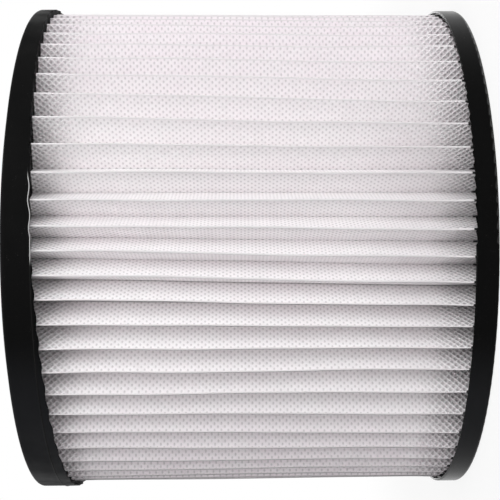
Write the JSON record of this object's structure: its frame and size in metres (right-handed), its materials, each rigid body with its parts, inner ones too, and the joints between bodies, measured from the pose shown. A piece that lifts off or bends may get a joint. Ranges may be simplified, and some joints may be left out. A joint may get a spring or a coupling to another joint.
{
  "type": "vacuum cleaner cartridge filter",
  "caption": "Round cartridge filter: a pleated cloth ring over a support cage, between a cast open end ring and a moulded closed cap.",
  "frame": {"origin": "centre of the foot ring, on the plane that the closed end stands on", "axes": "+Z along the filter's axis from the closed end to the open end; -Y points at the camera of the picture, and +X is up in it"},
  "size_m": [0.1822, 0.1824, 0.1565],
  "materials": {
    "filter_cloth": "white spunbond cloth with a lattice of bond points",
    "cast_black": "glossy cast polyurethane",
    "moulded_black": "glossy injection moulding",
    "potting_black": "cured potting compound",
    "cage_black": "fine satin moulding"
  },
  "bodies": {
    "root": {"pleat_pack": "filter_cloth", "open_end_cap": "cast_black", "closed_end_cap": "moulded_black", "closed_end_potting": "potting_black", "inner_cage": "cage_black"}
  },
  "joints": []
}
